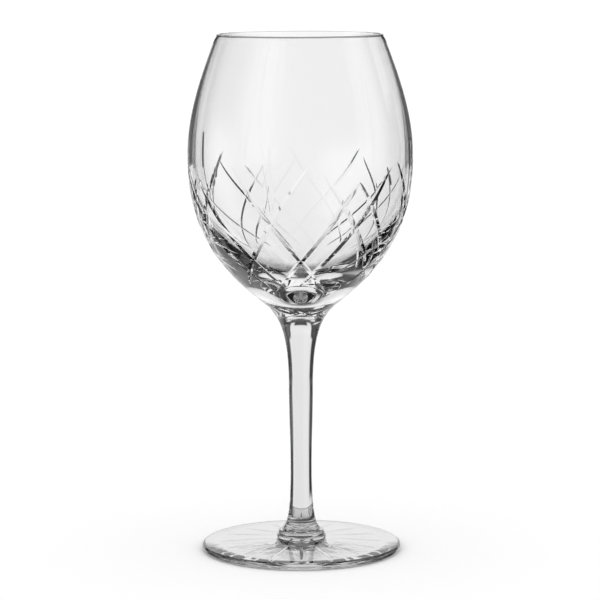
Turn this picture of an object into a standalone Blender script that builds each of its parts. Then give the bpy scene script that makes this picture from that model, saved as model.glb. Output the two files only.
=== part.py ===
# Red wine glass in cut crystal: a blown bowl, a drawn stem and a pressed foot, fused end to end.
# Metres, +Z up. The origin is the centre of the face that the foot rests on.

import math

import bmesh
import bpy
from mathutils import Vector

MM = 0.001

# Space left at each fused seam
SEAM_GAP = 0.3 * MM

# Foot: a pressed disc, thin at its edge and rising to a button that carries the stem
FOOT_RADIUS = 42.6 * MM
FOOT_EDGE_THICKNESS = 3.0 * MM
FOOT_RISE = 2.2 * MM
FOOT_EDGE_ROUND = 1.4 * MM
RESTING_RING_WIDTH = 5.5 * MM
HOLLOW_DEPTH = 1.2 * MM
BUTTON_RADIUS = 10.5 * MM
BUTTON_HEIGHT = 1.2 * MM
BUTTON_ROUND = 0.6 * MM

# Stem: a round-shouldered pad on the button, a flare, a slim waist and a wide neck under the bowl
STEM_LENGTH = 99.8 * MM
PAD_RADIUS = 9.9 * MM
PAD_HEIGHT = 0.5 * MM
PAD_ROUND = 1.5 * MM
PAD_TURN = math.radians(60.0)
FLARE_REACH = 24.0 * MM
FLARE_FOOT = 3.0 * MM
WAIST_RADIUS = 4.56 * MM
WAIST_RISE = 29.3 * MM
SHAFT_RADIUS = 5.18 * MM
NECK_LENGTH = 36.5 * MM
NECK_REACH = 7.6 * MM
NECK_TAIL = 26.0 * MM

# Bowl: the outline leans in from the belly to the rim, and closes on the neck of the stem
BOWL_HEIGHT = 113.2 * MM
SEAM_RADIUS = 16.05 * MM
SEAM_LEAN = math.radians(50.8)
BELLY_RADIUS = 47.6 * MM
BELLY_RISE = 61.2 * MM
BELLY_REACH_UP = 16.0 * MM
BELLY_REACH_DOWN = 36.8 * MM
SHOULDER_REACH = 13.9 * MM
RIM_RADIUS = 35.1 * MM
RIM_LEAN = math.radians(21.1)
RIM_REACH = 23.8 * MM
RIM_WALL = 1.2 * MM
BELLY_WALL = 2.0 * MM
BASE_WALL = 4.5 * MM
TIP_RADIUS = 14.0 * MM
FLOOR_SLOPE = math.radians(28.0)
CAVITY_REACH = 14.0 * MM
CAVITY_SIDE_REACH = 36.0 * MM

# Mitre cuts: four motifs set out by eye, each with one upright and three leaning strokes to either hand.
# The strokes that lean right are ground first and deepest, so crossing grooves differ in depth.
MOTIF_MIDDLES = (math.radians(-15.9), math.radians(77.4), math.radians(165.5), math.radians(247.5))
RIGHT_CUT_DEPTH = 0.62 * MM
LEFT_CUT_DEPTH = 0.57 * MM
UPRIGHT_CUT_DEPTH = 0.26 * MM
CUT_HALF_ANGLE = math.radians(65.0)
UPRIGHT_HALF_ANGLE = math.radians(74.0)
CUT_LEAN = math.radians(33.6)
CUT_CROSSING_RISE = 22.0 * MM
CUT_BOTTOM_RISE = 9.5 * MM
INNER_STROKE = (math.radians(-15.6), 62.0 * MM)
MIDDLE_STROKE = (math.radians(16.5), 55.0 * MM)
OUTER_STROKE = (math.radians(32.6), 58.5 * MM)
UPRIGHT_TOP_RISE = 71.5 * MM
UPRIGHT_BOTTOM_RISE = 34.0 * MM

# Star cut under the foot
STAR_RAYS = 16
STAR_DEPTH = 0.35 * MM
STAR_HALF_ANGLE = math.radians(64.0)
STAR_INNER_RADIUS = 13.0 * MM
STAR_OUTER_RADIUS = 34.5 * MM

# How a cutting wheel's bite is shaped: stations along it, the taper to its ends, the lift above the glass
CUT_STATIONS = 10
CUT_TAPER = 0.3
CUT_RUNOUT = 0.05 * MM
CUT_LIFT = 0.5 * MM

# Faceting of the turned shapes
BOWL_STEPS = 48
STEM_STEPS = 24
FOOT_STEPS = 48
CURVE_POINTS = 9
ROUND_POINTS = 4
MERGE = 0.01 * MM

# Heights that follow from the lengths above
BUTTON_TOP = FOOT_EDGE_THICKNESS + FOOT_RISE + BUTTON_HEIGHT
STEM_BASE = BUTTON_TOP + SEAM_GAP
STEM_TOP = STEM_BASE + STEM_LENGTH
BOWL_BASE = STEM_TOP + SEAM_GAP
RIM_TOP = BOWL_BASE + BOWL_HEIGHT


def clear_scene():
    for thing in list(bpy.data.objects):
        bpy.data.objects.remove(thing)


def new_collection(name):
    group = bpy.data.collections.new(name)
    bpy.context.scene.collection.children.link(group)
    return group


def crystal(name):
    material = bpy.data.materials.new(name)
    material.use_nodes = True
    shader = material.node_tree.nodes["Principled BSDF"]
    shader.inputs["Base Color"].default_value = (0.94, 0.95, 0.95, 1.0)
    shader.inputs["Metallic"].default_value = 0.0
    shader.inputs["Roughness"].default_value = 0.03
    shader.inputs["IOR"].default_value = 1.54
    shader.inputs["Transmission Weight"].default_value = 1.0
    return material


def curve_points(start, start_handle, end_handle, end, count=CURVE_POINTS):
    # Points of a cubic Bezier curve, the end left out so that curves chain
    points = []
    for i in range(count):
        t = i / count
        u = 1.0 - t
        weights = (u * u * u, 3.0 * u * u * t, 3.0 * u * t * t, t * t * t)
        corners = (start, start_handle, end_handle, end)
        r = sum(w * corner[0] for w, corner in zip(weights, corners))
        z = sum(w * corner[1] for w, corner in zip(weights, corners))
        points.append((r, z))
    return points


def round_points(centre, radius, start, stop, count=ROUND_POINTS):
    # Points of an arc in the profile's plane, both ends kept; angles count from straight out
    points = []
    for i in range(count + 1):
        angle = start + (stop - start) * i / count
        points.append((centre[0] + radius * math.cos(angle), centre[1] + radius * math.sin(angle)))
    return points


def link_mesh(name, mesh, group):
    thing = bpy.data.objects.new(name, mesh)
    group.objects.link(thing)
    return thing


def turned(name, profile, steps, material, group):
    # A profile at +X, from its top down the outer side, spun about Z
    shape = bmesh.new()
    corners = [shape.verts.new((r, 0.0, z)) for r, z in profile]
    for first, second in zip(corners, corners[1:]):
        shape.edges.new((first, second))
    mesh = bpy.data.meshes.new(name)
    shape.to_mesh(mesh)
    shape.free()
    mesh.materials.append(material)
    thing = link_mesh(name, mesh, group)
    spin = thing.modifiers.new("spin", "SCREW")
    spin.axis = "Z"
    spin.steps = steps
    spin.render_steps = steps
    spin.use_merge_vertices = True
    spin.merge_threshold = MERGE
    spin.use_smooth_shade = True
    return thing


def bowl_outline():
    # Outside of the bowl in profile, from the rim to the seam
    rim = (RIM_RADIUS, RIM_TOP)
    rim_handle = (
        RIM_RADIUS + RIM_REACH * math.sin(RIM_LEAN),
        RIM_TOP - RIM_REACH * math.cos(RIM_LEAN),
    )
    belly = (BELLY_RADIUS, BOWL_BASE + BELLY_RISE)
    above_belly = (BELLY_RADIUS, belly[1] + BELLY_REACH_UP)
    below_belly = (BELLY_RADIUS, belly[1] - BELLY_REACH_DOWN)
    seam = (SEAM_RADIUS, BOWL_BASE)
    seam_handle = (
        SEAM_RADIUS + SHOULDER_REACH * math.sin(SEAM_LEAN),
        BOWL_BASE + SHOULDER_REACH * math.cos(SEAM_LEAN),
    )
    upper = curve_points(rim, rim_handle, above_belly, belly)
    lower = curve_points(belly, below_belly, seam_handle, seam)
    return upper + lower + [seam]


def cavity_outline():
    # Inside of the bowl in profile, from a soft point on the axis up to the rim
    tip_centre = (0.0, BOWL_BASE + BASE_WALL + TIP_RADIUS)
    tip = round_points(tip_centre, TIP_RADIUS, -math.pi / 2.0, FLOOR_SLOPE - math.pi / 2.0)
    belly = (BELLY_RADIUS - BELLY_WALL, BOWL_BASE + BELLY_RISE)
    rim = (RIM_RADIUS - RIM_WALL, RIM_TOP)
    tip_handle = (
        tip[-1][0] + CAVITY_REACH * math.cos(FLOOR_SLOPE),
        tip[-1][1] + CAVITY_REACH * math.sin(FLOOR_SLOPE),
    )
    below_belly = (belly[0], belly[1] - CAVITY_SIDE_REACH)
    above_belly = (belly[0], belly[1] + BELLY_REACH_UP)
    rim_handle = (
        rim[0] + RIM_REACH * math.sin(RIM_LEAN),
        RIM_TOP - RIM_REACH * math.cos(RIM_LEAN),
    )
    lower = curve_points(tip[-1], tip_handle, below_belly, belly)
    upper = curve_points(belly, above_belly, rim_handle, rim)
    return tip[:-1] + lower + upper


def bowl_profile():
    # The lip is fire polished to a half round as wide as the wall
    lip_radius = RIM_WALL / 2.0
    lip_centre = (RIM_RADIUS - lip_radius, RIM_TOP - lip_radius)
    lip = round_points(lip_centre, lip_radius, math.pi - RIM_LEAN, -RIM_LEAN, 2 * ROUND_POINTS)
    outside = [point for point in bowl_outline() if point[1] < lip[-1][1] - MERGE]
    inside = [point for point in cavity_outline() if point[1] < lip[0][1] - MERGE]
    return lip + outside + [(0.0, BOWL_BASE)], inside


def stem_profile():
    seam = (SEAM_RADIUS, STEM_TOP)
    neck_handle = (
        SEAM_RADIUS - NECK_REACH * math.sin(SEAM_LEAN),
        STEM_TOP - NECK_REACH * math.cos(SEAM_LEAN),
    )
    shaft = (SHAFT_RADIUS, STEM_TOP - NECK_LENGTH)
    above_shaft = (SHAFT_RADIUS, shaft[1] + NECK_TAIL)
    waist = (WAIST_RADIUS, STEM_BASE + WAIST_RISE)
    taper = (shaft[1] - waist[1]) / 3.0
    below_shaft = (SHAFT_RADIUS, shaft[1] - taper)
    above_waist = (WAIST_RADIUS, waist[1] + taper)
    shoulder_centre = (PAD_RADIUS - PAD_ROUND, STEM_BASE + PAD_HEIGHT)
    shoulder = round_points(shoulder_centre, PAD_ROUND, PAD_TURN, 0.0)
    below_waist = (WAIST_RADIUS, waist[1] - FLARE_REACH)
    flare_handle = (
        shoulder[0][0] - FLARE_FOOT * math.sin(PAD_TURN),
        shoulder[0][1] + FLARE_FOOT * math.cos(PAD_TURN),
    )
    neck = curve_points(seam, neck_handle, above_shaft, shaft)
    shank = curve_points(shaft, below_shaft, above_waist, waist, ROUND_POINTS)
    flare = curve_points(waist, below_waist, flare_handle, shoulder[0])
    base = [(PAD_RADIUS, STEM_BASE), (0.0, STEM_BASE)]
    return [(0.0, STEM_TOP)] + neck + shank + flare + shoulder + base


def hollow_height(radius):
    # Underside of the foot: a shallow dome inside the ring that it rests on
    ring = FOOT_RADIUS - FOOT_EDGE_ROUND - RESTING_RING_WIDTH
    return HOLLOW_DEPTH * max(0.0, 1.0 - (radius / ring) ** 2)


def foot_profile():
    cone_top = FOOT_EDGE_THICKNESS + FOOT_RISE
    button = round_points(
        (BUTTON_RADIUS - BUTTON_ROUND, BUTTON_TOP - BUTTON_ROUND), BUTTON_ROUND, math.pi / 2.0, 0.0
    )
    edge_centre = FOOT_RADIUS - FOOT_EDGE_ROUND
    upper_edge = round_points(
        (edge_centre, FOOT_EDGE_THICKNESS - FOOT_EDGE_ROUND), FOOT_EDGE_ROUND, math.pi / 2.0, 0.0
    )
    lower_edge = round_points((edge_centre, FOOT_EDGE_ROUND), FOOT_EDGE_ROUND, 0.0, -math.pi / 2.0)
    ring = edge_centre - RESTING_RING_WIDTH
    hollow = []
    for i in range(CURVE_POINTS):
        radius = ring * (1.0 - i / CURVE_POINTS)
        hollow.append((radius, hollow_height(radius)))
    top = [(0.0, BUTTON_TOP)] + button + [(BUTTON_RADIUS, cone_top)]
    return top + upper_edge + lower_edge + hollow + [(0.0, HOLLOW_DEPTH)]


def outline_at(outline, z):
    # Radius and lean of a falling outline at a height
    for upper, lower in zip(outline, outline[1:]):
        if lower[1] <= z <= upper[1]:
            share = (z - lower[1]) / (upper[1] - lower[1])
            radius = lower[0] + share * (upper[0] - lower[0])
            return radius, math.atan2(upper[0] - lower[0], upper[1] - lower[1])
    raise ValueError("the height is off the outline")


def rhumb_turn(outline, start, stop, steps=40):
    # Turn about the axis along a line that keeps CUT_LEAN to the outline between two heights
    turn = 0.0
    rise = (stop - start) / steps
    for i in range(steps):
        radius, lean = outline_at(outline, start + rise * (i + 0.5))
        turn += math.tan(CUT_LEAN) * rise / math.cos(lean) / radius
    return turn


def wheel_bite(name, points, normals, depth, half_angle, group):
    # A V-edged wheel's bite: triangular sections lofted along a path, shallow at both ends
    shape = bmesh.new()
    sections = []
    last = len(points) - 1
    spread = math.tan(half_angle)
    for i, (point, normal) in enumerate(zip(points, normals)):
        along = (points[min(i + 1, last)] - points[max(i - 1, 0)]).normalized()
        side = along.cross(normal).normalized()
        swell = math.sin(math.pi * i / last) ** CUT_TAPER
        bite = (depth + CUT_RUNOUT) * swell - CUT_RUNOUT
        half_width = (bite + CUT_LIFT) * spread
        crest = point + normal * CUT_LIFT
        corners = (point - normal * bite, crest + side * half_width, crest - side * half_width)
        sections.append([shape.verts.new(corner) for corner in corners])
    for first, second in zip(sections, sections[1:]):
        for j in range(3):
            k = (j + 1) % 3
            shape.faces.new((first[j], first[k], second[k], second[j]))
    shape.faces.new(sections[0])
    shape.faces.new(sections[-1])
    bmesh.ops.recalc_face_normals(shape, faces=shape.faces)
    mesh = bpy.data.meshes.new(name)
    shape.to_mesh(mesh)
    shape.free()
    cutter = link_mesh(name, mesh, group)
    cutter.hide_render = True
    cutter.display_type = "WIRE"


def stroke(name, outline, azimuth, hand, depth, half_angle, top, bottom, group):
    # One mitre cut on the bowl: hand is +1 or -1 for the way it leans, 0 for an upright
    points = []
    normals = []
    crossing = BOWL_BASE + CUT_CROSSING_RISE
    for i in range(CUT_STATIONS):
        z = top + (bottom - top) * i / (CUT_STATIONS - 1)
        radius, lean = outline_at(outline, z)
        turn = azimuth + (hand * rhumb_turn(outline, crossing, z) if hand else 0.0)
        out = Vector((math.sin(turn), -math.cos(turn), 0.0))
        points.append(out * radius + Vector((0.0, 0.0, z)))
        normals.append(out * math.cos(lean) - Vector((0.0, 0.0, math.sin(lean))))
    wheel_bite(name, points, normals, depth, half_angle, group)


def bowl_cuts(group):
    outline = bowl_outline()
    bottom = BOWL_BASE + CUT_BOTTOM_RISE
    strokes = {"inner": INNER_STROKE, "middle": MIDDLE_STROKE, "outer": OUTER_STROKE}
    hands = {"right": (1, RIGHT_CUT_DEPTH), "left": (-1, LEFT_CUT_DEPTH)}
    for motif, centre in enumerate(MOTIF_MIDDLES):
        label = "bowl_cut_%d" % (motif + 1)
        upright = (BOWL_BASE + UPRIGHT_TOP_RISE, BOWL_BASE + UPRIGHT_BOTTOM_RISE)
        stroke(label + "_upright", outline, centre, 0, UPRIGHT_CUT_DEPTH, UPRIGHT_HALF_ANGLE, *upright, group)
        for place, (offset, top_rise) in strokes.items():
            for side, (hand, depth) in hands.items():
                name = "%s_%s_%s" % (label, place, side)
                azimuth = centre + hand * offset
                reach = (BOWL_BASE + top_rise, bottom)
                stroke(name, outline, azimuth, hand, depth, CUT_HALF_ANGLE, *reach, group)


def star_cuts(group):
    for ray in range(STAR_RAYS):
        angle = ray * 2.0 * math.pi / STAR_RAYS
        out = Vector((math.sin(angle), -math.cos(angle), 0.0))
        points = []
        for i in range(CUT_STATIONS):
            radius = STAR_INNER_RADIUS + (STAR_OUTER_RADIUS - STAR_INNER_RADIUS) * i / (CUT_STATIONS - 1)
            points.append(out * radius + Vector((0.0, 0.0, hollow_height(radius))))
        normals = [Vector((0.0, 0.0, -1.0))] * CUT_STATIONS
        wheel_bite("star_ray_%d" % (ray + 1), points, normals, STAR_DEPTH, STAR_HALF_ANGLE, group)


def cut_with(thing, group):
    cut = thing.modifiers.new("cuts", "BOOLEAN")
    cut.operation = "DIFFERENCE"
    cut.operand_type = "COLLECTION"
    cut.collection = group
    cut.solver = "EXACT"


def main():
    clear_scene()
    parts = new_collection("red_wine_glass")
    cutters = new_collection("red_wine_glass_cutters")
    bowl_wheels = bpy.data.collections.new("bowl_wheels")
    foot_wheels = bpy.data.collections.new("foot_wheels")
    cutters.children.link(bowl_wheels)
    cutters.children.link(foot_wheels)

    outside, inside = bowl_profile()
    bowl = turned("bowl", inside + outside, BOWL_STEPS, crystal("bowl_crystal"), parts)
    bowl_cuts(bowl_wheels)
    cut_with(bowl, bowl_wheels)

    turned("stem", stem_profile(), STEM_STEPS, crystal("stem_crystal"), parts)

    foot = turned("foot", foot_profile(), FOOT_STEPS, crystal("foot_crystal"), parts)
    star_cuts(foot_wheels)
    cut_with(foot, foot_wheels)


main()
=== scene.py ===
import math

import bmesh
import bpy
from mathutils import Matrix, Vector


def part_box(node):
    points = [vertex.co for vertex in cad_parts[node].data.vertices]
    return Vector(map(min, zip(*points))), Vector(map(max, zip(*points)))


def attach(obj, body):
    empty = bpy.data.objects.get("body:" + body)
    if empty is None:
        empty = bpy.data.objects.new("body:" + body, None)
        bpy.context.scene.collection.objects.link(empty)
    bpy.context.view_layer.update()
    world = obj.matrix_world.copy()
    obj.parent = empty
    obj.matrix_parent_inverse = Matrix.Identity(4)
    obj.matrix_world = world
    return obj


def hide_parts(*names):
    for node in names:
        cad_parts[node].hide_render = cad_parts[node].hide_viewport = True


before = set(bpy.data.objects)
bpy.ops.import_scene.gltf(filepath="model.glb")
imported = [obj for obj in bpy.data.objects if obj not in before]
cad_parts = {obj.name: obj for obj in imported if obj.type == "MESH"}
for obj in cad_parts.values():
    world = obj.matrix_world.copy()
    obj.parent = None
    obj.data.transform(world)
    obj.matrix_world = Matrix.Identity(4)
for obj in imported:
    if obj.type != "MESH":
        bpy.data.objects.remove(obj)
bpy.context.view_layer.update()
scene = bpy.context.scene
scene.view_settings.view_transform = "Standard"
# Light runs on inside the foot and the neck, so it may bounce more often than by default
scene.cycles.max_bounces = 16
scene.cycles.glossy_bounces = 8

mm = 0.001
mergeGap = 0.002 * mm
levelFace = 0.999            # how upright the normal of a level face is

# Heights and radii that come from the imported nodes; a fused seam lies midway in the gap between two nodes
bowlLow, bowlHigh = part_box("bowl")
stemLow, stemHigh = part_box("stem")
footLow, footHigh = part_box("foot")
upperSeam = (bowlLow.z + stemHigh.z) / 2
lowerSeam = (stemLow.z + footHigh.z) / 2
rimTop = bowlHigh.z
bellyRadius = bowlHigh.x
seamRadius = stemHigh.x
footRadius = footHigh.x


def hexColour(code):
    # sRGB hex to the linear values that shaders take
    parts = [int(code[i:i + 2], 16) / 255 for i in (0, 2, 4)]
    linear = [p / 12.92 if p <= 0.04045 else ((p + 0.055) / 1.055) ** 2.4 for p in parts]
    return (*linear, 1.0)


def addNode(tree, kind, inputs=None, **settings):
    # Adds a node, sets its settings, and links or fills its inputs
    node = tree.nodes.new(kind)
    for name, value in settings.items():
        setattr(node, name, value)
    for name, value in (inputs or {}).items():
        if isinstance(value, bpy.types.NodeSocket):
            tree.links.new(value, node.inputs[name])
        else:
            node.inputs[name].default_value = value
    return node


def newMaterial(name):
    material = bpy.data.materials.new(name)
    material.use_nodes = True
    material.node_tree.nodes.clear()
    return material, material.node_tree


# Materials

blownGlass = {
    "tintAndPaintedShade": "FFFFFF",        # colourless crystal
    "ior": 1.54,
    "waveWidth": 26.0,       # mm, slow ripple that blowing and reheating leave
    "waveHeight": 0.010,     # mm
    "polishLow": 0.0,
    "polishHigh": 0.012,
    "polishSpot": 3.0,       # mm, patches where the fire polish is a little duller
    "spotRange": (0.45, 0.75),
}
# The stem's and the foot's copies are greyed as painted shade, for the shade seen through the solid stem and
# the foot
drawnGlassPaintedShade = dict(blownGlass, waveWidth=18.0, tintAndPaintedShade="EAEAEA")
pressedGlassPaintedShade = dict(blownGlass, waveWidth=6.0, waveHeight=0.04, tintAndPaintedShade="D8D8D8")


def makeClearCrystal(name, values):
    # Blown, drawn or pressed crystal, fire-polished: clear, with sharp reflections and a faint slow ripple;
    # the grey base colour of the drawn and pressed copies is painted shade
    material, tree = newMaterial(name)
    dullLow, dullHigh = values["spotRange"]
    place = addNode(tree, "ShaderNodeTexCoord")
    ripple = addNode(tree, "ShaderNodeTexNoise", {
        "Vector": place.outputs["Object"], "Scale": 1 / (values["waveWidth"] * mm), "Detail": 1.0})
    bump = addNode(tree, "ShaderNodeBump", {
        "Height": ripple.outputs["Fac"], "Distance": values["waveHeight"] * mm, "Strength": 1.0})
    spots = addNode(tree, "ShaderNodeTexNoise", {
        "Vector": place.outputs["Object"], "Scale": 1 / (values["polishSpot"] * mm), "Detail": 3.0})
    polish = addNode(tree, "ShaderNodeMapRange", {
        "Value": spots.outputs["Fac"], "From Min": dullLow, "From Max": dullHigh,
        "To Min": values["polishLow"], "To Max": values["polishHigh"]})
    glass = addNode(tree, "ShaderNodeBsdfPrincipled", {
        "Base Color": hexColour(values["tintAndPaintedShade"]), "IOR": values["ior"], "Transmission Weight": 1.0,
        "Roughness": polish.outputs["Result"], "Normal": bump.outputs["Normal"]})
    addNode(tree, "ShaderNodeOutputMaterial", {"Surface": glass.outputs["BSDF"]})
    return material


cutGlass = {
    "tintAndPaintedShade": "FFFFFF",
    "ior": 1.54,
    "grindWidth": 0.35,      # mm, drawn about five times as coarse as the wheel's grit so that it shows
    "grindHeight": 0.004,    # mm
    "polishLow": 0.03,
    "polishHigh": 0.12,
    "grindRange": (0.35, 0.7),
}


def makeCutCrystal(name, values):
    # Mitre cuts, wheel-ground then acid-polished: bright facets with a trace of the wheel left in them
    material, tree = newMaterial(name)
    traceLow, traceHigh = values["grindRange"]
    place = addNode(tree, "ShaderNodeTexCoord")
    grind = addNode(tree, "ShaderNodeTexNoise", {
        "Vector": place.outputs["Object"], "Scale": 1 / (values["grindWidth"] * mm), "Detail": 2.0})
    bump = addNode(tree, "ShaderNodeBump", {
        "Height": grind.outputs["Fac"], "Distance": values["grindHeight"] * mm, "Strength": 1.0})
    polish = addNode(tree, "ShaderNodeMapRange", {
        "Value": grind.outputs["Fac"], "From Min": traceLow, "From Max": traceHigh,
        "To Min": values["polishLow"], "To Max": values["polishHigh"]})
    glass = addNode(tree, "ShaderNodeBsdfPrincipled", {
        "Base Color": hexColour(values["tintAndPaintedShade"]), "IOR": values["ior"], "Transmission Weight": 1.0,
        "Roughness": polish.outputs["Result"], "Normal": bump.outputs["Normal"]})
    addNode(tree, "ShaderNodeOutputMaterial", {"Surface": glass.outputs["BSDF"]})
    return material


lipGlassWithPaintedShade = {
    "ior": 1.54,
    "fade": (-22.0, 8.0),    # mm along the glass's depth, over which the painted shade and the roughness fade from the front to the back
    "tintAndPaintedShade": (0.14, 1.0),     # painted shade: share of the light that passes, in front and behind
    "polish": (0.3, 0.02),
}


def makeGroundLipWithPaintedShade(name, values):
    # Lip rough in front and polished behind, with painted shade: a thin grey line in front that fades out
    # towards the back
    material, tree = newMaterial(name)
    place = addNode(tree, "ShaderNodeTexCoord")
    depth = addNode(tree, "ShaderNodeSeparateXYZ", {"Vector": place.outputs["Object"]})
    start, end = (limit * mm for limit in values["fade"])
    shades = []
    for near, far in (values["tintAndPaintedShade"], values["polish"]):
        shade = addNode(tree, "ShaderNodeMapRange", {
            "Value": depth.outputs["Y"], "From Min": start, "From Max": end, "To Min": near, "To Max": far})
        shades.append(shade.outputs["Result"])
    glass = addNode(tree, "ShaderNodeBsdfPrincipled", {
        "Base Color": shades[0], "IOR": values["ior"], "Transmission Weight": 1.0, "Roughness": shades[1]})
    addNode(tree, "ShaderNodeOutputMaterial", {"Surface": glass.outputs["BSDF"]})
    return material


def makeFusedSeam(name):
    # Where two gathers of glass were fused hot there is no surface left, so this one is not seen
    material, tree = newMaterial(name)
    seam = addNode(tree, "ShaderNodeBsdfPrincipled", {"Base Color": hexColour("FFFFFF"), "Alpha": 0.0})
    addNode(tree, "ShaderNodeOutputMaterial", {"Surface": seam.outputs["BSDF"]})
    return material


fusedSeam = makeFusedSeam("fused_seam")
mitreCut = makeCutCrystal("crystal_mitre_cut_polished", cutGlass)
bowlCrystal = makeClearCrystal("crystal_blown_fire_polished", blownGlass)
# The stem's and the foot's crystal carry a grey painted shade
stemCrystalPaintedShade = makeClearCrystal("crystal_drawn_fire_polished_painted_shade", drawnGlassPaintedShade)
footCrystalPaintedShade = makeClearCrystal("crystal_pressed_fire_polished_painted_shade", pressedGlassPaintedShade)
groundLipWithPaintedShade = makeGroundLipWithPaintedShade("crystal_lip_ground_painted_shade", lipGlassWithPaintedShade)
print("materials made:", [m.name for m in bpy.data.materials if m.users or m.node_tree])


# Shaping tools

def curvePoints(start, startHandle, endHandle, end, count):
    # Points of a Bezier curve in the profile's plane, its end left out so that curves chain
    points = []
    for i in range(count):
        t = i / count
        u = 1 - t
        weights = (u ** 3, 3 * u * u * t, 3 * u * t * t, t ** 3)
        corners = (start, startHandle, endHandle, end)
        points.append(tuple(sum(w * c[k] for w, c in zip(weights, corners)) for k in (0, 1)))
    return points


def roundPoints(centre, radius, first, last, count):
    # Points of an arc in the profile's plane, angles in degrees from straight out
    angles = [math.radians(first + (last - first) * i / count) for i in range(count + 1)]
    return [(centre[0] + radius * math.cos(a), centre[1] + radius * math.sin(a)) for a in angles]


def turnProfile(name, profile, steps):
    # One corner extruded along the profile, spun about the glass's own axis and closed
    bpy.ops.object.select_all(action="DESELECT")
    bpy.ops.mesh.primitive_plane_add(size=mm)
    piece = bpy.context.object
    piece.name = name
    piece.data.name = name
    bpy.ops.object.mode_set(mode="EDIT")
    bpy.ops.mesh.merge(type="CENTER")
    here = (0.0, 0.0)
    for r, z in profile:
        step = (r - here[0], 0.0, z - here[1])
        if here == (0.0, 0.0):
            bpy.ops.transform.translate(value=step)
        else:
            bpy.ops.mesh.extrude_vertices_move(TRANSFORM_OT_translate={"value": step})
        here = (r, z)
    bpy.ops.mesh.select_all(action="SELECT")
    bpy.ops.mesh.spin(steps=steps, angle=2 * math.pi, center=(0, 0, 0), axis=(0, 0, 1))
    bpy.ops.mesh.select_all(action="SELECT")
    bpy.ops.mesh.remove_doubles(threshold=mergeGap)
    bpy.ops.mesh.normals_make_consistent(inside=False)
    bpy.ops.object.mode_set(mode="OBJECT")
    return piece


def giveSeam(piece, height):
    # The flat face at a seam takes the seam's material
    piece.data.materials.append(fusedSeam)
    seamSlot = len(piece.data.materials) - 1
    for face in piece.data.polygons:
        if abs(face.center.z - height) < mergeGap and abs(face.normal.z) > levelFace:
            face.material_index = seamSlot


def giveBand(piece, material, heights, radii):
    # Faces of a turned piece between two heights and two radii take another finish
    piece.data.materials.append(material)
    bandSlot = len(piece.data.materials) - 1
    for face in piece.data.polygons:
        radius = face.center.xy.length
        if heights[0] < face.center.z < heights[1] and radii[0] < radius < radii[1]:
            face.material_index = bandSlot


def wheelBite(name, path, normals, depth, halfAngle, values):
    # A V-edged wheel's bite: a three-cornered section extruded along its path, shallow at both ends
    bpy.ops.object.select_all(action="DESELECT")
    bpy.ops.mesh.primitive_circle_add(vertices=3, radius=mm, fill_type="NGON")
    bite = bpy.context.object
    bite.name = name
    bite.data.materials.append(mitreCut)
    bpy.ops.object.mode_set(mode="EDIT")
    last = len(path) - 1
    spread = math.tan(math.radians(halfAngle))
    lift = values["lift"] * mm
    for i, (point, normal) in enumerate(zip(path, normals)):
        if i:
            bpy.ops.mesh.extrude_region_move()
        along = (path[min(i + 1, last)] - path[max(i - 1, 0)]).normalized()
        side = along.cross(normal).normalized()
        swell = math.sin(math.pi * i / last) ** values["taper"]
        down = (depth + values["runout"]) * mm * swell - values["runout"] * mm
        half = (down + lift) * spread
        crest = point + normal * lift
        corners = (point - normal * down, crest + side * half, crest - side * half)
        shape = bmesh.from_edit_mesh(bite.data)
        for corner, spot in zip([v for v in shape.verts if v.select], corners):
            corner.co = spot
        bmesh.update_edit_mesh(bite.data)
    bpy.ops.mesh.select_all(action="SELECT")
    bpy.ops.mesh.normals_make_consistent(inside=False)
    bpy.ops.object.mode_set(mode="OBJECT")
    return bite


def repeatRound(bite, turns):
    # Copies of one bite, each with its own mesh, turned about the axis by these angles
    copies = [bite]
    for turn in turns:
        bpy.ops.object.select_all(action="DESELECT")
        bite.select_set(True)
        bpy.context.view_layer.objects.active = bite
        bpy.ops.object.duplicate(linked=False)
        copy = bpy.context.object
        copy.data.transform(Matrix.Rotation(math.radians(turn), 4, "Z"))
        copies.append(copy)
    return copies


def grind(piece, bites):
    # Takes the bites out of the piece, and takes the wheels away
    wheels = bpy.data.collections.new(piece.name + "_wheels")
    scene.collection.children.link(wheels)
    for bite in bites:
        for home in list(bite.users_collection):
            home.objects.unlink(bite)
        wheels.objects.link(bite)
    bpy.ops.object.select_all(action="DESELECT")
    piece.select_set(True)
    bpy.context.view_layer.objects.active = piece
    cut = piece.modifiers.new("mitre_cuts", "BOOLEAN")
    cut.operation = "DIFFERENCE"
    cut.operand_type = "COLLECTION"
    cut.collection = wheels
    cut.solver = "EXACT"
    cut.material_mode = "TRANSFER"
    bpy.ops.object.modifier_apply(modifier=cut.name)
    for bite in bites:
        mesh = bite.data
        bpy.data.objects.remove(bite)
        bpy.data.meshes.remove(mesh)
    bpy.data.collections.remove(wheels)


def finishPiece(piece, node, smoothAngle):
    # Smooths the piece and puts it in its node's place
    bpy.ops.object.select_all(action="DESELECT")
    piece.select_set(True)
    bpy.context.view_layer.objects.active = piece
    bpy.ops.object.shade_smooth_by_angle(angle=math.radians(smoothAngle))
    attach(piece, "root")
    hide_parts(node)
    print(piece.name, "has", len(piece.data.polygons), "faces")


# Bowl

bowlValues = {
    "seamLean": 50.8,        # degrees from upright, where the bowl meets the neck
    "bellyRise": 61.2,       # mm above the bowl's lower end
    "reachUp": 16.0,         # mm, how long the belly stays full above and below its widest place
    "reachDown": 36.8,
    "shoulderReach": 13.9,
    "rimRadius": 35.1,
    "rimLean": 21.1,
    "rimReach": 23.8,
    "rimWall": 1.2,
    "bellyWall": 2.0,
    "baseWall": 4.5,
    "tipRadius": 14.0,       # mm, the cavity's bottom comes to a soft point where the stem was drawn
    "floorSlope": 28.0,      # degrees
    "cavityReach": 14.0,
    "cavitySideReach": 36.0,
    "steps": 192,
    "points": 32,
    "tipPoints": 12,
    "lipPoints": 12,
    "lipClear": 0.1,         # mm kept free between the lip's ends and the next points of the walls
    "smoothAngle": 18,
}


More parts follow.
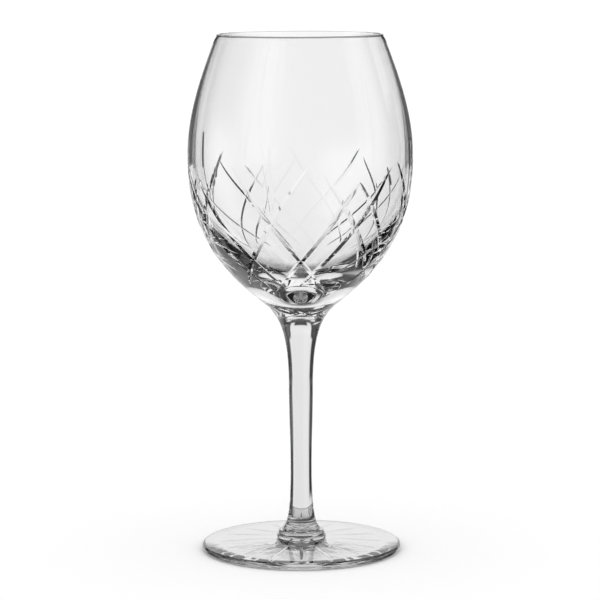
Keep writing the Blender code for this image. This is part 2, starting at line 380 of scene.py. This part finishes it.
def bowlOutline(values):
    lean = math.radians(values["seamLean"])
    rimLean = math.radians(values["rimLean"])
    belly = (bellyRadius, bowlLow.z + values["bellyRise"] * mm)
    rim = (values["rimRadius"] * mm, rimTop)
    rimHandle = (rim[0] + values["rimReach"] * mm * math.sin(rimLean),
                 rim[1] - values["rimReach"] * mm * math.cos(rimLean))
    seam = (seamRadius, upperSeam)
    seamHandle = (seam[0] + values["shoulderReach"] * mm * math.sin(lean),
                  seam[1] + values["shoulderReach"] * mm * math.cos(lean))
    above = (belly[0], belly[1] + values["reachUp"] * mm)
    below = (belly[0], belly[1] - values["reachDown"] * mm)
    upper = curvePoints(rim, rimHandle, above, belly, values["points"])
    lower = curvePoints(belly, below, seamHandle, seam, values["points"])
    return upper + lower + [seam]


def cavityOutline(values):
    rimLean = math.radians(values["rimLean"])
    slope = math.radians(values["floorSlope"])
    tipRadius = values["tipRadius"] * mm
    tipCentre = (0.0, bowlLow.z + values["baseWall"] * mm + tipRadius)
    tip = roundPoints(tipCentre, tipRadius, -90, values["floorSlope"] - 90, values["tipPoints"])
    belly = (bellyRadius - values["bellyWall"] * mm, bowlLow.z + values["bellyRise"] * mm)
    rim = ((values["rimRadius"] - values["rimWall"]) * mm, rimTop)
    rimHandle = (rim[0] + values["rimReach"] * mm * math.sin(rimLean),
                 rim[1] - values["rimReach"] * mm * math.cos(rimLean))
    tipHandle = (tip[-1][0] + values["cavityReach"] * mm * math.cos(slope),
                 tip[-1][1] + values["cavityReach"] * mm * math.sin(slope))
    below = (belly[0], belly[1] - values["cavitySideReach"] * mm)
    above = (belly[0], belly[1] + values["reachUp"] * mm)
    lower = curvePoints(tip[-1], tipHandle, below, belly, values["points"])
    upper = curvePoints(belly, above, rimHandle, rim, values["points"])
    return tip[:-1] + lower + upper


def bowlProfile(values):
    # From the bottom of the cavity up the inside, over the half-round lip and down the outside to the seam
    lipRadius = values["rimWall"] * mm / 2
    lipCentre = (values["rimRadius"] * mm - lipRadius, rimTop - lipRadius)
    lip = roundPoints(lipCentre, lipRadius, 180 - values["rimLean"], -values["rimLean"], values["lipPoints"])
    inside = [p for p in cavityOutline(values) if p[1] < lip[0][1] - values["lipClear"] * mm]
    outside = [p for p in bowlOutline(values) if p[1] < lip[-1][1] - values["lipClear"] * mm]
    return inside + lip + outside + [(0.0, upperSeam)]


cutValues = {
    "motifs": (-15.9, 77.4, 165.5, 247.5),  # degrees to each motif's middle, set out by eye, so not even
    "rightDepth": 0.62,      # mm
    "leftDepth": 0.57,
    "uprightDepth": 0.26,
    "halfAngle": 65.0,       # degrees, of the wheel's edge
    "uprightHalfAngle": 74.0,
    "lean": 33.6,            # degrees from upright that a leaning stroke keeps all along
    "crossingRise": 22.0,    # mm above the bowl's lower end, where the offsets below are taken
    "bottomRise": 9.5,
    "strokes": {"inner": (-15.6, 62.0), "middle": (16.5, 55.0), "outer": (32.6, 58.5)},
    "uprightTop": 71.5,
    "uprightBottom": 34.0,
    "stations": 24,
    "fineSteps": 60,         # small steps that a leaning stroke's turn is added up in
    "taper": 0.3,
    "runout": 0.05,
    "lift": 0.3,
}


def outlineAt(outline, z):
    # Radius and lean of the bowl's outside at a height
    for upper, lower in zip(outline, outline[1:]):
        if lower[1] <= z <= upper[1]:
            share = (z - lower[1]) / (upper[1] - lower[1])
            lean = math.atan2(upper[0] - lower[0], upper[1] - lower[1])
            return lower[0] + share * (upper[0] - lower[0]), lean
    raise ValueError("the height is off the outline")


def strokePath(outline, azimuth, hand, top, bottom, values):
    # A line on the bowl that keeps its lean, as a wheel follows a chalk mark
    crossing = bowlLow.z + values["crossingRise"] * mm
    fine = values["fineSteps"]
    path = []
    normals = []
    for i in range(values["stations"]):
        z = top + (bottom - top) * i / (values["stations"] - 1)
        turn = azimuth
        aside = hand * math.tan(math.radians(values["lean"])) * (z - crossing) / fine
        for k in range(fine if hand else 0):
            radius, lean = outlineAt(outline, crossing + (z - crossing) * (k + 0.5) / fine)
            turn += aside / math.cos(lean) / radius
        radius, lean = outlineAt(outline, z)
        out = Vector((math.sin(turn), -math.cos(turn), 0))
        path.append(out * radius + Vector((0, 0, z)))
        normals.append(out * math.cos(lean) - Vector((0, 0, math.sin(lean))))
    return path, normals


def bowlBites(values):
    outline = bowlOutline(bowlValues)
    base = bowlLow.z
    first = values["motifs"][0]
    turns = [motif - first for motif in values["motifs"][1:]]
    centre = math.radians(first)
    top, bottom = base + values["uprightTop"] * mm, base + values["uprightBottom"] * mm
    path, normals = strokePath(outline, centre, 0, top, bottom, values)
    upright = wheelBite("upright", path, normals, values["uprightDepth"], values["uprightHalfAngle"], values)
    bites = repeatRound(upright, turns)
    for place, (offset, rise) in values["strokes"].items():
        for hand, depth in ((1, values["rightDepth"]), (-1, values["leftDepth"])):
            azimuth = centre + hand * math.radians(offset)
            path, normals = strokePath(
                outline, azimuth, hand, base + rise * mm, base + values["bottomRise"] * mm, values)
            stroke = wheelBite(place, path, normals, depth, values["halfAngle"], values)
            bites += repeatRound(stroke, turns)
    return bites


bowl = turnProfile("crystal_bowl", bowlProfile(bowlValues), bowlValues["steps"])
bowl.data.materials.append(bowlCrystal)
giveSeam(bowl, upperSeam)
lipRadius = bowlValues["rimWall"] * mm / 2
lipMiddle = bowlValues["rimRadius"] * mm - lipRadius
# The lip's band takes a grey painted shade in front
giveBand(bowl, groundLipWithPaintedShade, (rimTop - lipRadius, rimTop), (lipMiddle, bellyRadius))
grind(bowl, bowlBites(cutValues))
finishPiece(bowl, "bowl", bowlValues["smoothAngle"])


# Stem

stemValues = {
    "padRadius": 9.9,
    "padHeight": 0.5,
    "padRound": 1.5,
    "padTurn": 60.0,         # degrees of the pad's round shoulder, above which the flare hollows in
    "flareReach": 24.0,
    "flareFoot": 3.0,
    "waistRadius": 4.56,
    "waistRise": 29.3,
    "shaftRadius": 5.18,
    "neckLength": 36.5,
    "neckReach": 7.6,
    "neckTail": 26.0,
    "steps": 160,
    "points": 40,
    "padPoints": 12,
    "smoothAngle": 18,
}


def stemProfile(values):
    lean = math.radians(bowlValues["seamLean"])
    turn = math.radians(values["padTurn"])
    seam = (seamRadius, upperSeam)
    neckHandle = (seam[0] - values["neckReach"] * mm * math.sin(lean),
                  seam[1] - values["neckReach"] * mm * math.cos(lean))
    shaft = (values["shaftRadius"] * mm, stemHigh.z - values["neckLength"] * mm)
    aboveShaft = (shaft[0], shaft[1] + values["neckTail"] * mm)
    waist = (values["waistRadius"] * mm, stemLow.z + values["waistRise"] * mm)
    third = (shaft[1] - waist[1]) / 3
    belowShaft = (shaft[0], shaft[1] - third)
    aboveWaist = (waist[0], waist[1] + third)
    padRadius = values["padRadius"] * mm
    padRound = values["padRound"] * mm
    shoulderCentre = (padRadius - padRound, stemLow.z + values["padHeight"] * mm)
    shoulder = roundPoints(shoulderCentre, padRound, values["padTurn"], 0, values["padPoints"])
    flareHandle = (shoulder[0][0] - values["flareFoot"] * mm * math.sin(turn),
                   shoulder[0][1] + values["flareFoot"] * mm * math.cos(turn))
    belowWaist = (waist[0], waist[1] - values["flareReach"] * mm)
    neck = curvePoints(seam, neckHandle, aboveShaft, shaft, values["points"])
    shank = curvePoints(shaft, belowShaft, aboveWaist, waist, values["points"])
    flare = curvePoints(waist, belowWaist, flareHandle, shoulder[0], values["points"])
    return [(0.0, upperSeam)] + neck + shank + flare + shoulder + [(padRadius, lowerSeam), (0.0, lowerSeam)]


stem = turnProfile("crystal_stem", stemProfile(stemValues), stemValues["steps"])
stem.data.materials.append(stemCrystalPaintedShade)
giveSeam(stem, upperSeam)
giveSeam(stem, lowerSeam)
finishPiece(stem, "stem", stemValues["smoothAngle"])


# Foot

footValues = {
    "edgeThickness": 3.0,
    "rise": 2.2,
    "edgeRound": 1.4,
    "ringWidth": 5.5,
    "hollowDepth": 1.2,
    "buttonRadius": 10.5,
    "buttonRound": 0.6,
    "steps": 224,
    "points": 36,
    "roundPoints": 10,
    "smoothAngle": 18,
}

starValues = {
    "rays": 16,
    "depth": 0.35,
    "innerRadius": 13.0,
    "outerRadius": 34.5,
    "stations": 20,
    "halfAngle": 64.0,
    "taper": 0.4,
    "runout": 0.05,
    "lift": 0.3,
}


def hollowHeight(radius, values):
    ring = footRadius - (values["edgeRound"] + values["ringWidth"]) * mm
    return values["hollowDepth"] * mm * max(0.0, 1 - (radius / ring) ** 2)


def footProfile(values):
    count = values["roundPoints"]
    edgeRound = values["edgeRound"] * mm
    edgeCentre = footRadius - edgeRound
    coneTop = (values["edgeThickness"] + values["rise"]) * mm
    buttonRound = values["buttonRound"] * mm
    button = (values["buttonRadius"] * mm - buttonRound, lowerSeam - buttonRound)
    top = [(0.0, lowerSeam)] + roundPoints(button, buttonRound, 90, 0, count)
    top.append((values["buttonRadius"] * mm, coneTop))
    edge = roundPoints((edgeCentre, values["edgeThickness"] * mm - edgeRound), edgeRound, 90, 0, count)
    edge += roundPoints((edgeCentre, edgeRound), edgeRound, 0, -90, count)
    ring = edgeCentre - values["ringWidth"] * mm
    radii = [ring * (1 - i / values["points"]) for i in range(values["points"])]
    hollow = [(r, hollowHeight(r, values)) for r in radii]
    return top + edge + hollow + [(0.0, values["hollowDepth"] * mm)]


def starBites(values):
    inner, outer = values["innerRadius"], values["outerRadius"]
    path = []
    for i in range(values["stations"]):
        radius = inner + (outer - inner) * i / (values["stations"] - 1)
        path.append(Vector((0, -radius * mm, hollowHeight(radius * mm, footValues))))
    normals = [Vector((0, 0, -1))] * values["stations"]
    ray = wheelBite("star_ray", path, normals, values["depth"], values["halfAngle"], values)
    return repeatRound(ray, [360 * i / values["rays"] for i in range(1, values["rays"])])


foot = turnProfile("crystal_foot", footProfile(footValues), footValues["steps"])
foot.data.materials.append(footCrystalPaintedShade)
giveSeam(foot, lowerSeam)
grind(foot, starBites(starValues))
finishPiece(foot, "foot", footValues["smoothAngle"])


# Studio

floorValues = {"size": 60.0, "colour": "FFFFFF"}  # m

bpy.ops.object.select_all(action="DESELECT")
bpy.ops.mesh.primitive_plane_add(size=floorValues["size"], location=(0, 0, 0))
floor = bpy.context.object
floor.name = "floor"
floorPaint, floorTree = newMaterial("matt_white_floor")
floorShade = addNode(floorTree, "ShaderNodeBsdfDiffuse", {"Color": hexColour(floorValues["colour"])})
addNode(floorTree, "ShaderNodeOutputMaterial", {"Surface": floorShade.outputs["BSDF"]})
floor.data.materials.append(floorPaint)
floor.visible_transmission = False
floor.visible_glossy = False

# What the glass shows and mirrors: a white tent with dark flags in it, the way clear glass is lit so that its
# edges draw. Angles are degrees, azimuth from straight behind the glass and elevation. The tent's lists are
# (elevation, light), and it turns from its back to the rest of it between the two azimuths of tentTurn
tentBehind = [(-90, 0.25), (-60, 0.30), (-45, 0.50), (-34, 0.90), (-24, 0.97), (-12, 0.99), (-6, 1.02),
              (8, 1.02), (14, 1.08), (20, 1.05), (55, 1.05), (62, 0.12), (90, 0.08)]
tentAround = [(-90, 0.12), (20, 0.10), (34, 0.08), (90, 0.08)]
tentTurn = (75, 95)
flags = [
    {"name": "side_flags", "facing": 0, "aside": 70, "half": 36, "soft": 8,
     "low": -9, "lowFade": 4, "high": 38, "highFade": 8, "dark": 0.94},
    {"name": "roof_flag", "facing": 0, "aside": 0, "half": 14, "soft": 4,
     "low": 26, "lowFade": 6, "high": 64, "highFade": 6, "dark": 0.92},
    {"name": "table_flags", "facing": 0, "aside": 70, "half": 32, "soft": 6,
     "low": -46, "lowFade": 10, "high": -8, "highFade": 4, "dark": 0.96},
    {"name": "neck_flags", "facing": 0, "aside": 34, "half": 7, "soft": 4,
     "low": 9, "lowFade": 4, "high": 48, "highFade": 8, "dark": 0.94},
]
# White walls that stand behind the glass when it is looked at from other sides
walls = [
    {"name": "left_wall", "facing": -90, "half": 18, "soft": 30,
     "low": -45, "lowFade": 10, "high": 8, "highFade": 16, "light": 0.9},
    {"name": "front_wall", "facing": 135, "half": 25, "soft": 40,
     "low": -50, "lowFade": 10, "high": 4, "highFade": 16, "light": 0.9},
    {"name": "corner_table", "facing": -45, "half": 16, "soft": 6,
     "low": -55, "lowFade": 10, "high": -17, "highFade": 4, "light": 1.0},
]
floorLight = 1.07            # on the open floor
shadowLight = 0.0            # on the floor, through the glass

world = bpy.data.worlds.new("bright_field_studio")
scene.world = world
world.use_nodes = True
sky = world.node_tree
sky.nodes.clear()


def skyMath(operation, *values):
    return addNode(sky, "ShaderNodeMath", dict(enumerate(values)), operation=operation).outputs[0]


def fade(value, start, end):
    # Rises softly from 0 at start to 1 at end
    node = addNode(sky, "ShaderNodeMapRange", {"Value": value, "From Min": start, "From Max": end},
                   interpolation_type="SMOOTHSTEP")
    return node.outputs["Result"]


def azimuthFrom(facing):
    # Degrees to either side of the direction that a view faces
    turned = addNode(sky, "ShaderNodeVectorRotate", {
        "Vector": direction, "Angle": math.radians(facing)}, rotation_type="Z_AXIS")
    flat = addNode(sky, "ShaderNodeSeparateXYZ", {"Vector": turned.outputs["Vector"]})
    angle = skyMath("ARCTAN2", flat.outputs["X"], flat.outputs["Y"])
    return skyMath("ABSOLUTE", skyMath("DEGREES", angle))


def lightByHeight(stops):
    share = skyMath("DIVIDE", skyMath("ADD", elevation, 90.0), 180.0)
    ramp = addNode(sky, "ShaderNodeValToRGB", {"Fac": share})
    elements = ramp.color_ramp.elements
    while len(elements) < len(stops):
        elements.new(1.0)
    for element, (angle, light) in zip(elements, stops):
        element.position = (angle + 90) / 180
        element.color = (light, light, light, 1)
    return addNode(sky, "ShaderNodeRGBToBW", {"Color": ramp.outputs["Color"]}).outputs["Val"]


def coverOf(area, aside):
    # How far a flag or a wall covers a direction, soft at its borders
    offset = skyMath("ABSOLUTE", skyMath("SUBTRACT", azimuthFrom(area["facing"]), aside))
    across = fade(offset, area["half"] + area["soft"] / 2, area["half"] - area["soft"] / 2)
    above = fade(elevation, area["low"] - area["lowFade"] / 2, area["low"] + area["lowFade"] / 2)
    below = fade(elevation, area["high"] + area["highFade"] / 2, area["high"] - area["highFade"] / 2)
    return skyMath("MULTIPLY", across, skyMath("MULTIPLY", above, below))


direction = addNode(sky, "ShaderNodeTexCoord").outputs["Generated"]
height = addNode(sky, "ShaderNodeSeparateXYZ", {"Vector": direction}).outputs["Z"]
elevation = skyMath("DEGREES", skyMath("ARCSINE", height))
turnedAway = fade(azimuthFrom(0), *tentTurn)
tent = addNode(sky, "ShaderNodeMix", {
    "Factor": turnedAway, 2: lightByHeight(tentBehind), 3: lightByHeight(tentAround)}).outputs[0]
for flag in flags:
    cover = skyMath("MULTIPLY", coverOf(flag, flag["aside"]), flag["dark"])
    tent = skyMath("MULTIPLY", tent, skyMath("SUBTRACT", 1.0, cover))
for wall in walls:
    tent = skyMath("MAXIMUM", tent, skyMath("MULTIPLY", coverOf(wall, 0.0), wall["light"]))

# The background itself is white, and rays that light the floor see an even light
lightPath = addNode(sky, "ShaderNodeLightPath")
throughGlass = skyMath(
    "MAXIMUM", lightPath.outputs["Is Glossy Ray"], lightPath.outputs["Is Transmission Ray"])
fromFloor = skyMath("GREATER_THAN", lightPath.outputs["Diffuse Depth"], 0.5)
seen = addNode(sky, "ShaderNodeMix", {"Factor": fromFloor, 2: tent, 3: shadowLight}).outputs[0]
plain = addNode(sky, "ShaderNodeMix", {"Factor": fromFloor, 2: 1.0, 3: floorLight}).outputs[0]
level = addNode(sky, "ShaderNodeMix", {"Factor": throughGlass, 2: plain, 3: seen}).outputs[0]
light = addNode(sky, "ShaderNodeBackground", {"Color": hexColour("FFFFFF"), "Strength": level})
addNode(sky, "ShaderNodeOutputWorld", {"Surface": light.outputs["Background"]})

# Two dark cards behind the bowl, seen only in the glass: its wall mirrors them, so its outline draws dark
cardValues = {
    "colour": "5A5A5A",
    "behind": 200.0,         # mm
    "heights": (138.0, 280.0),
    "inner": (94.0, 79.0),   # mm from the middle, at the bottom and the top of a card
    "outer": 192.0,
}


def hangCard(name, side, values, paint):
    bpy.ops.object.select_all(action="DESELECT")
    bpy.ops.mesh.primitive_plane_add(size=mm)
    card = bpy.context.object
    card.name = name
    bottom, top = values["heights"]
    edges = (values["inner"][0], values["outer"], values["inner"][1], values["outer"])
    for corner, across, z in zip(card.data.vertices, edges, (bottom, bottom, top, top)):
        corner.co = Vector((side * across, values["behind"], z)) * mm
    card.data.materials.append(paint)
    card.visible_camera = False
    card.visible_diffuse = False
    card.visible_shadow = False


cardPaint, cardTree = newMaterial("dark_grey_card")
cardShade = addNode(cardTree, "ShaderNodeBsdfDiffuse", {"Color": hexColour(cardValues["colour"])})
addNode(cardTree, "ShaderNodeOutputMaterial", {"Surface": cardShade.outputs["BSDF"]})
hangCard("card_left", -1, cardValues, cardPaint)
hangCard("card_right", 1, cardValues, cardPaint)
print("studio made with", [area["name"] for area in flags + walls], "and 2 cards")

cameraValues = {
    "place": (-0.0003, -1.1131, 0.2602),
    "pitch": -7.813,         # degrees, looking slightly down
    "roll": -0.18,
    "lens": 158.8,
    "sensor": 36.0,
    "clipEnd": 200.0,        # m, past the floor's far end
}

bpy.ops.object.camera_add(location=cameraValues["place"])
camera = bpy.context.object
camera.name = "camera"
camera.data.lens = cameraValues["lens"]
camera.data.sensor_width = cameraValues["sensor"]
camera.data.clip_end = cameraValues["clipEnd"]
look = Matrix.Rotation(math.radians(90 + cameraValues["pitch"]), 4, "X")
camera.rotation_euler = (look @ Matrix.Rotation(math.radians(cameraValues["roll"]), 4, "Z")).to_euler()
scene.camera = camera
print("camera made")
